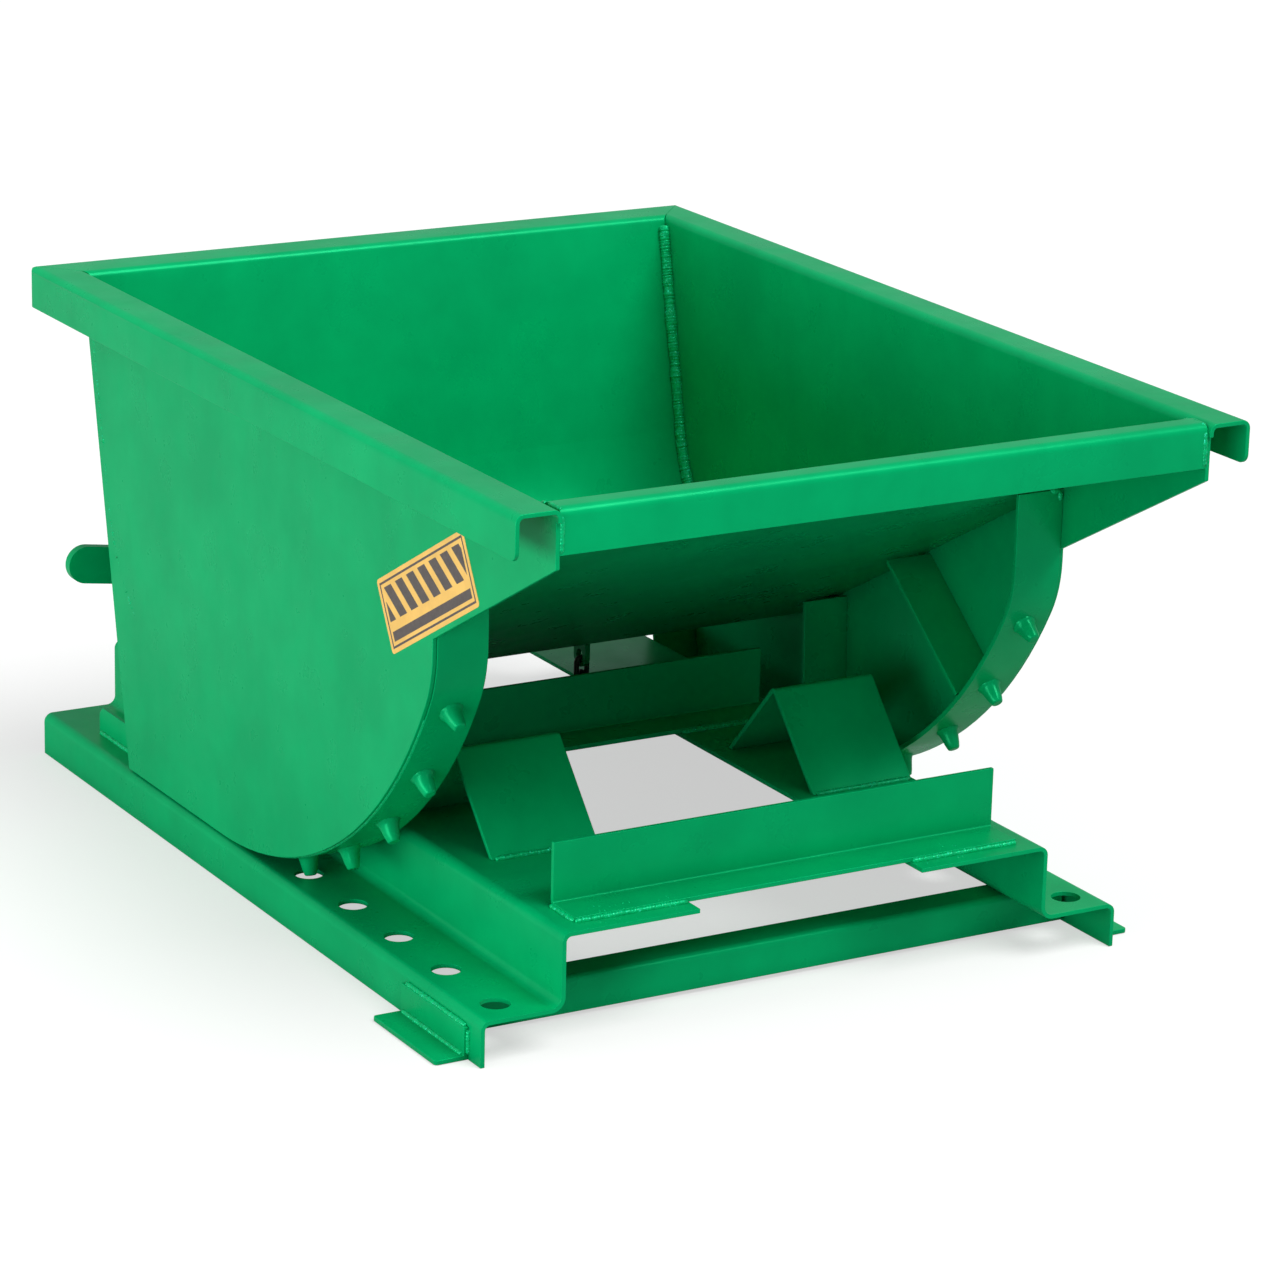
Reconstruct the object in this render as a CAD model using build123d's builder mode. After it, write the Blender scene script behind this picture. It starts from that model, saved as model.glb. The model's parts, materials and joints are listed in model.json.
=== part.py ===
from build123d import *
import math
import os

# Self-dumping hopper on a rolling base.  Millimetres.
# X runs across, the pour lip faces -Y, the base stands on Z = 0.
# Distances named *_y are measured back from the lip and shifted by at().

# overall
length = 1175.0            # lip to the back end of the rails
rim_width = 818.0          # over the turned-down rim
height = 585.0             # floor to rim
mid_y = length / 2

# bucket
body_width = 730.0         # over the side plates
sheet = 4.5                # bucket sheet
rim_drop = 45.0
rim_round = 9.0
rim_corner = 10.0          # plan corners at the back, flange corners at the front
rim_rear_y = 1108.0
chute_angle = 29.0         # floor and lower front edge rise towards the lip
chute_edge_z = 527.0       # lower front edge of the side plates at the lip
lip_y = 4.0
lip_flat = 26.0
wall_foot_y = 930.0        # inner face of the rear wall carried down to the floor
wall_lean = 0.2116         # set back per unit of height
belly_round = 200.0
plate_rear_y = 940.0

# rockers
roll_radius = 520.0
flat_z = 47.5              # underside of the rocker
roll_y = 712.0             # where the flat ends and the rolling arc starts
flat_rear_y = 953.0
nose_round = 128.0         # tighter curve above the rolling arc
arc_end = 62.0             # degrees of rolling arc
rocker_sheet = 5.0
rocker_width = 55.5
plate_rise = 1.5           # side plate edge held above the rocker face

# pegs and track holes
pitch = 101.4
first_hole_y = 160.6
hole_count = 5
hole_x = 334.0
hole_r = 15.2
peg_r = 11.0
peg_tip_r = 6.5
peg_length = 22.0

# base
base_width = 739.0
base_front_y = 123.0
rail_sheet = 4.5
track_z = 47.2
web_x = 282.0
deck_z = 123.0             # top of the inner flanges
deck_edge_x = 129.0
rail_round = 10.0
angle_sheet = 5.0
top_angle_half = 256.5
top_angle_leg = 67.0
top_angle_foot = 50.0
front_angle_y = 194.3
rear_angle_y = 649.6
low_angle_leg = 38.0
front_low_y = 200.0
rear_low_y = 975.0
saddle_width = 122.0
saddle_rise = 95.0
saddle_run = 87.0
foot_width = 36.0
foot_length = 132.0
foot_y = 148.0
foot_leg = 34.0
heel_x = 337.0

# latch and chain
lever_y = 1061.0           # middle of the bar's thickness
lever_sheet = 11.0
lever_depth = 42.0
lever_tip_x = -408.5
lever_pivot_x = -60.0
lever_rise = 133.9          # pivot above the corner of the floor and wall lines
lever_end_x = -18.0
lever_tilt = 8.0
pin_r = 8.0
pin_gap = 0.08
hook_sheet = 8.0
chain_x = 104.0
chain_y = 775.0
wire_r = 3.0
link_length = 30.0
link_width = 19.0
link_count = 4

os.makedirs("parts", exist_ok=True)

half = body_width / 2
inner = half - sheet
roll_z = flat_z + roll_radius
slope = math.tan(math.radians(chute_angle))


def at(y):
    return y - mid_y


def floor_z(y):
    """Top of the sloping floor."""
    return height - slope * (y - lip_y - lip_flat)


def wall_y(z):
    """Inner face of the rear wall."""
    return wall_foot_y + wall_lean * z


def on_roll(angle, radius):
    a = math.radians(angle)
    return (at(roll_y) - radius * math.sin(a), roll_z - radius * math.cos(a))


def save(name, label):
    name.part.label = label
    export_step(name.part, "parts/" + label + ".step")


def strip_along_x(points, radius, thick, side, x0, x1):
    """Bent sheet whose section lies in the side view."""
    with BuildPart() as p:
        with BuildSketch(Plane.YZ.offset(x0)):
            with BuildLine():
                FilletPolyline(*points, radius=radius)
                offset(amount=thick, side=side)
            make_face()
        extrude(amount=x1 - x0)
    return p


def strip_along_y(points, radius, thick, side, y0, y1):
    """Bent sheet whose section lies in the front view."""
    with BuildPart() as p:
        with BuildSketch(Plane.XZ.offset(-at(y1))):
            with BuildLine():
                FilletPolyline(*points, radius=radius)
                offset(amount=thick, side=side)
            make_face()
        extrude(amount=y1 - y0)
    return p


# ---------------------------------------------------------------- base rails
def rail(s):
    pts = [(s * base_width / 2, 0), (s * base_width / 2, track_z), (s * web_x, track_z),
           (s * web_x, deck_z), (s * deck_edge_x, deck_z)]
    side = Side.LEFT if s > 0 else Side.RIGHT
    p = strip_along_y(pts, rail_round, rail_sheet, side, base_front_y, length)
    with p:
        for i in range(hole_count):
            with Locations((s * hole_x, at(first_hole_y + i * pitch), track_z)):
                Cylinder(hole_r, 4 * rail_sheet, mode=Mode.SUBTRACT)
    return p


rail_right = rail(1)
save(rail_right, "rail_right")
rail_left = rail(-1)
save(rail_left, "rail_left")


# -------------------------------------------------------------- cross angles
def cross_angle(y_back, z_foot, z_top, foot, half_x, thick, foot_up=True):
    zf = z_foot if foot_up else z_top
    zt = z_top if foot_up else z_foot
    pts = [(at(y_back), zt), (at(y_back), zf), (at(y_back - foot), zf)]
    side = Side.RIGHT if foot_up else Side.LEFT
    return strip_along_x(pts, thick + 2, thick, side, -half_x, half_x)


front_top_angle = cross_angle(front_angle_y, deck_z, deck_z + top_angle_leg, top_angle_foot,
                              top_angle_half, angle_sheet)
save(front_top_angle, "front_top_angle")
rear_top_angle = cross_angle(rear_angle_y, deck_z, deck_z + top_angle_leg, top_angle_foot,
                             top_angle_half, angle_sheet)
save(rear_top_angle, "rear_top_angle")


def low_angle(y_front):
    top = track_z - rail_sheet
    pts = [(at(y_front), top - low_angle_leg), (at(y_front), top),
           (at(y_front + low_angle_leg), top)]
    return strip_along_x(pts, angle_sheet + 2, angle_sheet, Side.RIGHT,
                         -base_width / 2 + rail_round + 1, base_width / 2 - rail_round - 1)


front_lower_angle = low_angle(front_low_y)
save(front_lower_angle, "front_lower_angle")
rear_lower_angle = low_angle(rear_low_y)
save(rear_lower_angle, "rear_lower_angle")


# ------------------------------------------------------------------- saddles
def saddle(x0, y_top):
    pts = [(at(y_top - saddle_run), deck_z), (at(y_top), deck_z + saddle_rise),
           (at(y_top + saddle_run), deck_z)]
    p = strip_along_x(pts, angle_sheet + 2, angle_sheet, Side.RIGHT, x0, x0 + saddle_width)
    with p:
        with Locations((x0 + saddle_width / 2, at(y_top), deck_z - 10)):
            Box(saddle_width + 20, 4 * saddle_run, 20, mode=Mode.SUBTRACT)
    return p


saddle_right = saddle(150.0, 448.0)
save(saddle_right, "saddle_right")
saddle_left = saddle(-246.0, 420.0)
save(saddle_left, "saddle_left")


# -------------------------------------------------- foot plates, heel guides
def foot_plate(s):
    """Angle welded to the outer lip of the track, one leg flat on the floor."""
    x_lip = s * base_width / 2
    with BuildPart() as p:
        with BuildSketch(Plane.XY):
            with Locations((x_lip + s * foot_width / 2, at(foot_y + foot_length / 2))):
                Rectangle(foot_width, foot_length)
            outer = [v for v in vertices() if abs(v.X) > base_width / 2 + 1]
            fillet(outer, 4)
        extrude(amount=angle_sheet)
        with Locations((x_lip + s * angle_sheet / 2, at(foot_y + foot_length / 2), foot_leg / 2)):
            Box(angle_sheet, foot_length, foot_leg)
    return p


def heel_guide(s):
    with BuildPart() as p:
        with BuildSketch(Plane.YZ.offset(s * heel_x - angle_sheet / 2)):
            with BuildLine():
                Polyline((at(970), track_z), (at(1088), track_z), (at(1088), track_z + 22),
                         (at(1080), track_z + 30), (at(985), track_z + 30),
                         (at(970), track_z + 12), close=True)
            make_face()
        extrude(amount=angle_sheet)
    return p


foot_plate_right = foot_plate(1)
save(foot_plate_right, "foot_plate_right")
foot_plate_left = foot_plate(-1)
save(foot_plate_left, "foot_plate_left")
heel_guide_right = heel_guide(1)
save(heel_guide_right, "heel_guide_right")
heel_guide_left = heel_guide(-1)
save(heel_guide_left, "heel_guide_left")


# --------------------------------------------------------------- side plates
def roll_outline(extra):
    """Points and end of the rocker curve, held off inwards by extra."""
    r = roll_radius - extra
    n = nose_round - extra
    a = math.radians(arc_end)
    arc_start = (at(roll_y), flat_z + extra)
    arc_mid = on_roll(arc_end / 2, r)
    arc_stop = on_roll(arc_end, r)
    cy = at(roll_y) - (roll_radius - nose_round) * math.sin(a)
    cz = roll_z - (roll_radius - nose_round) * math.cos(a)
    b = math.radians((arc_end + 90) / 2)
    nose_mid = (cy - n * math.sin(b), cz - n * math.cos(b))
    nose_stop = (cy - n, cz)
    return arc_start, arc_mid, arc_stop, nose_mid, nose_stop


def side_plate(s):
    x_in, x_out = s * inner, s * half
    start, mid, stop, nmid, nstop = roll_outline(plate_rise)
    top_z = height - rim_round - sheet
    y_nose = nstop[0]
    z_chute = chute_edge_z - slope * (y_nose + mid_y - lip_y)
    rear = lambda z: at(plate_rear_y + wall_lean * z)
    z_low = flat_z + plate_rise
    with BuildPart() as p:
        with BuildSketch(Plane.YZ.offset(min(x_in, x_out))):
            with BuildLine():
                Line((at(lip_y), top_z), (at(lip_y), chute_edge_z))
                Line((at(lip_y), chute_edge_z), (y_nose, z_chute))
                Line((y_nose, z_chute), nstop)
                ThreePointArc(nstop, nmid, stop)
                ThreePointArc(stop, mid, start)
                Line(start, (rear(z_low), z_low))
                Line((rear(z_low), z_low), (rear(top_z), top_z))
                Line((rear(top_z), top_z), (at(lip_y), top_z))
            make_face()
            corner = [v for v in vertices()
                      if abs(v.Z - z_low) < 1 and v.Y > at(roll_y) + 50]
            fillet(corner, 14)
            front = [v for v in vertices()
                     if abs(v.Z - chute_edge_z) < 0.1 and abs(v.Y - at(lip_y)) < 0.1]
            fillet(front, 8)
        extrude(amount=sheet)
    return p


def side_rim(s):
    """Rolled-over rim along one side, mitred at the back."""
    pts = [(s * inner, height - rim_round - sheet), (s * inner, height),
           (s * rim_width / 2, height), (s * rim_width / 2, height - rim_drop)]
    side = Side.RIGHT if s > 0 else Side.LEFT
    p = strip_along_y(pts, rim_round, sheet, side, 0.0, rim_rear_y)
    with p:
        low_front = [e for e in edges()
                     if abs(e.center().Y - at(0)) < 0.1
                     and abs(e.center().Z - (height - rim_drop)) < 0.1]
        fillet(low_front, rim_corner)
    return p


def rim_plan():
    """Column over the whole bucket with the rim's rounded rear corners."""
    with BuildPart() as p:
        with BuildSketch(Plane.XY):
            with Locations((0, at(rim_rear_y / 2))):
                Rectangle(rim_width, rim_rear_y)
            rear_corners = [v for v in vertices() if v.Y > 0]
            fillet(rear_corners, rim_corner)
        extrude(amount=height + rim_drop)
    return p


def mitre(s, keep_side):
    """Prism covering the ground of the side rim (or of the rear rim)."""
    yi, yo = at(wall_y(height)), at(rim_rear_y)
    xi, xo = inner, rim_width / 2
    k = (yo - yi) / (xo - xi)
    with BuildPart() as p:
        with BuildSketch(Plane.XY.offset(height - 2 * rim_drop)):
            with BuildLine():
                far_y = yi + k * (500 - xi)
                if keep_side:
                    Polyline((s * xi, yi), (s * 500, far_y), (s * 500, -900), (s * xi, -900),
                             close=True)
                else:
                    Polyline((s * xi, yi), (s * 500, far_y), (0, far_y), (0, yi - 60),
                             (s * xi, yi - 60), close=True)
            make_face()
        extrude(amount=3 * rim_drop)
    return p


def make_side(s):
    plate = side_plate(s)
    rim = side_rim(s)
    keep = mitre(s, True)
    body = plate.part + (rim.part & keep.part & rim_plan().part)
    return body


side_body_right = make_side(1)
side_body_left = make_side(-1)
with BuildPart() as side_plate_right:
    add(side_body_right)
save(side_plate_right, "side_plate_right")
with BuildPart() as side_plate_left:
    add(side_body_left)
save(side_plate_left, "side_plate_left")

# ------------------------------------------------- floor, belly, rear wall
lean = math.atan(wall_lean)
turn = math.pi / 2 - lean + math.radians(chute_angle)
corner_z = (floor_z(0) - slope * wall_foot_y) / (1 + slope * wall_lean)
corner_y = wall_y(corner_z)
leg = belly_round * math.tan(turn / 2)
ca, sa = math.cos(math.radians(chute_angle)), math.sin(math.radians(chute_angle))
joint_y = corner_y + leg * math.sin(lean)
joint_z = corner_z + leg * math.cos(lean)
lever_pivot_z = round(corner_z + lever_rise, 1)


def wrapper(x0, x1):
    """Lip, floor, belly and rear wall as one bent strip."""
    with BuildPart() as p:
        with BuildSketch(Plane.YZ.offset(x0)):
            with BuildLine():
                lip = FilletPolyline((at(lip_y), height - rim_drop), (at(lip_y), height),
                                     (at(lip_y + lip_flat), height),
                                     (at(300), floor_z(300)), radius=rim_round)
                fs = (at(corner_y - leg * ca), corner_z + leg * sa)
                Line((at(300), floor_z(300)), fs)
                cy = fs[0] + belly_round * sa
                cz = fs[1] + belly_round * ca
                b = (math.radians(chute_angle) - (math.pi / 2 - lean)) / 2
                mid = (cy - belly_round * math.sin(b), cz - belly_round * math.cos(b))
                fe = (at(joint_y), joint_z)
                ThreePointArc(fs, mid, fe)
                offset(amount=sheet, side=Side.RIGHT)
            make_face()
        extrude(amount=x1 - x0)
    return p


belly_sheet = wrapper(-inner, inner)
save(belly_sheet, "belly_sheet")

rear = strip_along_x([(at(joint_y), joint_z), (at(wall_y(height)), height),
                      (at(rim_rear_y), height), (at(rim_rear_y), height - rim_drop)],
                     rim_round, sheet, Side.RIGHT, -rim_width / 2, rim_width / 2)
with rear:
    for sx in (-1, 1):
        # the wall itself stops between the side plates
        wall_top = height - rim_round - sheet
        spare = rim_width / 2 - inner + 10
        with Locations((sx * (inner + spare / 2), at(wall_y(height)) - 60,
                        (wall_top + joint_z - 20) / 2)):
            Box(spare, 200, wall_top - joint_z + 20, mode=Mode.SUBTRACT)
rear_part = rear.part
for sx in (-1, 1):
    rear_part = rear_part - mitre(sx, True).part
rear_part = rear_part & rim_plan().part
with BuildPart() as rear_wall:
    add(rear_part)
save(rear_wall, "rear_wall")


# ------------------------------------------------------------------- rockers
def rocker(s):
    x0 = inner - rocker_width if s > 0 else -inner
    start, mid, stop, nmid, nstop = roll_outline(0)
    top_front = floor_z(nstop[0] + mid_y) - sheet / ca - 3.5
    rear = lambda z: at(plate_rear_y + wall_lean * z - 1.0)
    corner = (rear(flat_z), flat_z)
    z_end = joint_z - 25
    up = (rear(z_end), z_end)
    r = 16.0
    ang = math.pi / 2 - lean
    t = r / math.tan((math.pi - ang) / 2)
    a1 = (corner[0] - t, corner[1])
    a2 = (corner[0] + t * math.sin(lean), corner[1] + t * math.cos(lean))
    cen = (a1[0], a1[1] + r)
    h = ang / 2
    am = (cen[0] + r * math.sin(h), cen[1] - r * math.cos(h))
    with BuildPart() as p:
        with BuildSketch(Plane.YZ.offset(x0)):
            with BuildLine():
                Line((nstop[0], top_front), nstop)
                ThreePointArc(nstop, nmid, stop)
                ThreePointArc(stop, mid, start)
                Line(start, a1)
                ThreePointArc(a1, am, a2)
                Line(a2, up)
                offset(amount=rocker_sheet, side=Side.LEFT)
            make_face()
        extrude(amount=rocker_width)
    return p


rocker_right = rocker(1)
save(rocker_right, "rocker_right")
rocker_left = rocker(-1)
save(rocker_left, "rocker_left")


def pegs(s):
    with BuildPart() as p:
        for i in range(hole_count):
            y_hole = first_hole_y + i * pitch
            ang = math.degrees((roll_y - y_hole) / roll_radius)
            y, z = on_roll(ang, roll_radius + peg_length / 2)
            with Locations(Location((s * hole_x, y, z), (-ang, 0, 0))):
                Cone(peg_tip_r, peg_r, peg_length)
    return p


rocker_pegs_right = pegs(1)
save(rocker_pegs_right, "rocker_pegs_right")
rocker_pegs_left = pegs(-1)
save(rocker_pegs_left, "rocker_pegs_left")


# -------------------------------------------------------------------- braces
def under_floor(y):
    return floor_z(y) - sheet / ca


def brace(s, y_top, angle_foot, foot_gap, top_gap, thick=5.0):
    """Flat bar from the rocker up to the floor sheet."""
    foot = on_roll(angle_foot, roll_radius - rocker_sheet - foot_gap)
    top = (at(y_top), under_floor(y_top) - top_gap)
    x0 = inner - rocker_width if s > 0 else -inner
    with BuildPart() as p:
        with BuildSketch(Plane.YZ.offset(x0)):
            with BuildLine():
                Line(foot, top)
                offset(amount=thick, side=Side.LEFT)
            make_face()
        extrude(amount=rocker_width)
    return p


for s, tag in ((1, "right"), (-1, "left")):
    front = brace(s, 478.0, 47.0, 1.6, 5.4)
    save(front, "front_brace_" + tag)
    middle = brace(s, 640.0, 9.0, 1.2, 2.8)
    save(middle, "middle_brace_" + tag)

# --------------------------------------------------------------------- latch
tilt = math.radians(lever_tilt)
pivot = (lever_pivot_x, lever_pivot_z)


def along(x):
    """Centre line of the lever bar."""
    return lever_pivot_z - (x - lever_pivot_x) * math.tan(tilt)


bar_front = lever_y - lever_sheet / 2
bar_back = lever_y + lever_sheet / 2
hook_front = bar_front - hook_sheet
bracket_face = hook_front - 0.5
bracket_sheet = 6.0

with BuildPart() as release_lever:
    with BuildSketch(Plane.XZ.offset(-at(bar_back))):
        bar_half = lever_depth / 2
        tip = lever_tip_x + bar_half
        mid_x = (tip + lever_end_x) / 2
        span = (lever_end_x - tip) / math.cos(tilt)
        with Locations(Location((mid_x, along(mid_x), 0), (0, 0, -lever_tilt))):
            SlotCenterToCenter(span - lever_depth, lever_depth)
        with Locations(pivot):
            Circle(pin_r + pin_gap, mode=Mode.SUBTRACT)
    extrude(amount=lever_sheet)
save(release_lever, "release_lever")

hook_half = 15.0
hook_foot = 44.0
hook_lift = 14.0
hook_reach = 34.0
keeper_left = lever_pivot_x + hook_half + hook_reach + 3.0
keeper_z = hook_foot + hook_lift + 11.0
with BuildPart() as latch_hook:
    with BuildSketch(Plane.XZ.offset(-at(bar_front))):
        with BuildLine():
            xl = lever_pivot_x - hook_half
            xr = lever_pivot_x + hook_half
            Polyline((xl, lever_pivot_z + 18), (xl, hook_foot + 10), (xl + 10, hook_foot),
                     (xr + hook_reach - 8, hook_foot), (xr + hook_reach, hook_foot + 6),
                     (xr + hook_reach, hook_foot + hook_lift), (xr, hook_foot + hook_lift),
                     (xr, lever_pivot_z + 18), close=True)
        make_face()
        with Locations(pivot):
            Circle(pin_r + pin_gap, mode=Mode.SUBTRACT)
    extrude(amount=hook_sheet)
save(latch_hook, "latch_hook")

cy_belly = at(corner_y - leg * ca) + belly_round * sa
cz_belly = corner_z + leg * sa + belly_round * ca
r_under = belly_round + sheet

with BuildPart() as latch_bracket:
    with BuildSketch(Plane.XZ.offset(-at(bracket_face))):
        with Locations((lever_pivot_x, lever_pivot_z)):
            RectangleRounded(64, 76, 8)
            Circle(pin_r + 0.05, mode=Mode.SUBTRACT)
    extrude(amount=bracket_sheet)
    z0, z1 = lever_pivot_z - 10, lever_pivot_z + 34
    for sx in (-1, 1):
        with BuildSketch(Plane.YZ.offset(lever_pivot_x + sx * 29 - 3)):
            with BuildLine():
                back = at(bracket_face) - bracket_sheet / 2
                Polyline((at(900), z0), (back, z0 - 22), (back, z1), (at(940), z1), close=True)
            make_face()
        extrude(amount=6)
    with Locations(Location((lever_pivot_x, cy_belly, cz_belly), (0, 90, 0))):
        Cylinder(r_under + 0.05, 90, mode=Mode.SUBTRACT)
save(latch_bracket, "latch_bracket")

with BuildPart() as lever_bolt:
    with BuildSketch(Plane.XZ.offset(-at(bar_back + 0.5))):
        with Locations(pivot):
            RegularPolygon(13, 6)
    extrude(amount=-9)
    with BuildSketch(Plane.XZ.offset(-at(bar_back + 0.5))):
        with Locations(pivot):
            Circle(pin_r)
    extrude(amount=(bar_back + 0.5) - (bracket_face - bracket_sheet - 14))
save(lever_bolt, "lever_bolt")

with BuildPart() as lever_nut:
    with BuildSketch(Plane.XZ.offset(-at(bracket_face - bracket_sheet - 0.1))):
        with Locations(pivot):
            RegularPolygon(13, 6)
            Circle(pin_r + 0.05, mode=Mode.SUBTRACT)
    extrude(amount=10)
save(lever_nut, "lever_nut")

with BuildPart() as latch_keeper:
    with BuildSketch(Plane.YZ.offset(keeper_left)):
        with BuildLine():
            y0 = rear_low_y + 14
            FilletPolyline((at(y0), track_z - rail_sheet), (at(y0), keeper_z + 8),
                           (at(bar_front + 4), keeper_z + 8), radius=9)
            offset(amount=8, side=Side.RIGHT)
        make_face()
    extrude(amount=55)
save(latch_keeper, "latch_keeper")

# --------------------------------------------------------------------- chain
dy = at(chain_y) - cy_belly
eye_z = cz_belly - math.sqrt(r_under ** 2 - dy ** 2)
eye_drop = 15.0

with BuildPart() as chain_eye:
    with BuildSketch(Plane.YZ.offset(chain_x - 3)):
        with Locations((at(chain_y), eye_z - eye_drop + 9)):
            Rectangle(26, 20)
        with Locations((at(chain_y), eye_z - eye_drop)):
            Circle(13)
        with Locations((at(chain_y), eye_z - eye_drop)):
            Circle(7, mode=Mode.SUBTRACT)
    extrude(amount=6)
    with Locations(Location((chain_x, cy_belly, cz_belly), (0, 90, 0))):
        Cylinder(r_under + 0.05, 90, mode=Mode.SUBTRACT)
save(chain_eye, "chain_eye")


def link(z_mid, across):
    """One stadium link of round wire, standing upright."""
    ax = link_width / 2 - wire_r
    az = link_length / 2 - link_width / 2
    frame = Plane(origin=(chain_x, at(chain_y), z_mid),
                  x_dir=(1, 0, 0) if across else (0, 1, 0),
                  z_dir=(0, -1, 0) if across else (1, 0, 0))
    with BuildPart() as p:
        with BuildLine(frame) as path:
            Line((ax, -az), (ax, az))
            ThreePointArc((ax, az), (0, az + ax), (-ax, az))
            Line((-ax, az), (-ax, -az))
            ThreePointArc((-ax, -az), (0, -az - ax), (ax, -az))
        start = Plane(origin=path.line @ 0, z_dir=path.line % 0)
        with BuildSketch(start):
            Circle(wire_r)
        sweep(path=path.line)
    return p


# the first link hangs on the lower rim of the eye's hole, wire just clear of it
first_mid = eye_z - eye_drop - 7 + wire_r + 1.7 - (link_length / 2 - wire_r)
drop = link_length - 4 * wire_r - 0.8
links = [link(first_mid - i * drop, i % 2 == 0) for i in range(link_count)]
with BuildPart() as chain_links:
    for k in links:
        add(k.part)
save(chain_links, "chain_links")

# ---------------------------------------------------------------------- decal
with BuildPart() as side_label:
    with BuildSketch(Plane.YZ.offset(-half - 0.35)):
        with Locations(Location((at(252), 439, 0), (0, 0, -chute_angle))):
            RectangleRounded(200, 75, 3)
    extrude(amount=0.35)
save(side_label, "side_label")

# ------------------------------------------- carrier of the sliding half turn
with BuildPart() as roll_carrier_key:
    with BuildSketch(Plane.XY.offset(track_z + 0.5)):
        with Locations((299.0, at(roll_y))):
            Rectangle(9, 20)
    extrude(amount=11)
save(roll_carrier_key, "roll_carrier_key")
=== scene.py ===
import json
import math
import random

import bmesh
import bpy
from mathutils import Matrix, Vector


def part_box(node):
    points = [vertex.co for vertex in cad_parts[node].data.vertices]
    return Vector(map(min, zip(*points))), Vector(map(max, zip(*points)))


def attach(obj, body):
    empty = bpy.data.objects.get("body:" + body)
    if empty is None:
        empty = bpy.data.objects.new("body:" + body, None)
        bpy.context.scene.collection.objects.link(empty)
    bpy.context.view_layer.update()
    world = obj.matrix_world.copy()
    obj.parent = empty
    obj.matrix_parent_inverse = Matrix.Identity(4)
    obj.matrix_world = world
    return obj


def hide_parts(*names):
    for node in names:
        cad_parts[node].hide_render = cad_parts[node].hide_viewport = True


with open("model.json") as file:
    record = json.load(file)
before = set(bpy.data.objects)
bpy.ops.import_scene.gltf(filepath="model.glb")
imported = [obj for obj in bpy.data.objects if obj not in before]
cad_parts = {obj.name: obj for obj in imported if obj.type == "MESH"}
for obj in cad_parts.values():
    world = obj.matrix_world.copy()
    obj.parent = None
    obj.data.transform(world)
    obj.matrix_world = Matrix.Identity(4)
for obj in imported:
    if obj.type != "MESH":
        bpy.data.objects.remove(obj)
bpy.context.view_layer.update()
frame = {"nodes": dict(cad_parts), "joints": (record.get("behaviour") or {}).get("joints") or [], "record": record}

bl_info = {
    "name": "Self-dumping hopper",
    "version": (1, 0, 0),
    "blender": (4, 5, 0),
    "location": "View3D > Sidebar > Hopper",
    "description": "Paints, welds and lights the self-dumping hopper",
    "category": "Object",
}

RECORD = frame["record"]
JOINTS = {j["name"]: j for j in frame["joints"]}

# --------------------------------------------------------------------------
# Places worked out from the frame, in metres
# --------------------------------------------------------------------------
ROLL_CENTRE = Vector(JOINTS["roll_turn"]["pos_m"])
ROLL_RADIUS = RECORD["behaviour"]["couplings"][0]["ratio"]
SIDE_LOW, SIDE_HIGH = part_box("side_plate_right")
FLOOR_LOW, FLOOR_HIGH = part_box("belly_sheet")
ROCKER_LOW, ROCKER_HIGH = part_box("rocker_right")
WALL_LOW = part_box("rear_wall")[0]
RAIL_EDGE_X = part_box("rail_right")[1].x  # outer lip of a rail
RIM_FRONT_Y = SIDE_LOW.y                 # front end of the side rims
RIM_Z = SIDE_HIGH.z                      # top of the rim
PLATE_X = SIDE_LOW.x                     # inner face of a side plate
INNER_X = FLOOR_HIGH.x                   # edge of the floor sheet, on that face
LIP_Y = FLOOR_LOW.y                      # front face of the lip
WALL_LEAN = math.atan(0.2116)            # the rear wall leans back
CHUTE_SLOPE = math.radians(29.0)         # the floor climbs towards the lip
BELLY_RADIUS = 0.200                     # bend between floor and rear wall
HOLE_PITCH = 0.1014                      # from one track hole to the next
FIRST_HOLE_Y = RIM_FRONT_Y + 0.1606      # middle of the front track hole
PEGS_A_SIDE = 5

BUCKET_PLATES = ("side_plate_left", "side_plate_right")
ROCKER_PARTS = (
    "rocker_left", "rocker_right", "front_brace_left", "front_brace_right",
    "middle_brace_left", "middle_brace_right",
)
BASE_PARTS = (
    "rail_left", "rail_right", "front_top_angle", "rear_top_angle",
    "front_lower_angle", "rear_lower_angle", "saddle_left", "saddle_right",
    "foot_plate_left", "foot_plate_right", "heel_guide_left", "heel_guide_right",
    "latch_keeper",
)


# --------------------------------------------------------------------------
# Settings shown in the sidebar
# --------------------------------------------------------------------------
class HopperPaint(bpy.types.PropertyGroup):
    colour: bpy.props.FloatVectorProperty(
        name="Enamel colour", description="Base colour of the green enamel",
        default=(0.0, 0.43, 0.142), size=3, min=0.0, max=1.0, subtype="COLOR",
    )
    roughness: bpy.props.FloatProperty(
        name="Roughness", description="Average roughness of the enamel",
        default=0.31, min=0.05, max=1.0, subtype="FACTOR",
    )
    glint: bpy.props.FloatVectorProperty(
        name="Glint tint", description="Tint of the enamel's reflections",
        default=(0.08, 1.0, 0.84), size=3, min=0.0, max=1.0, subtype="COLOR",
    )
    peel_size: bpy.props.FloatProperty(
        name="Orange peel size", description="Width of one ripple of the sprayed enamel",
        default=0.0016, min=0.0002, max=0.02, unit="LENGTH",
    )
    edge: bpy.props.FloatProperty(
        name="Edge radius", description="Rounding of sheared sheet edges under the paint",
        default=0.0008, min=0.0, max=0.003, unit="LENGTH",
    )


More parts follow.
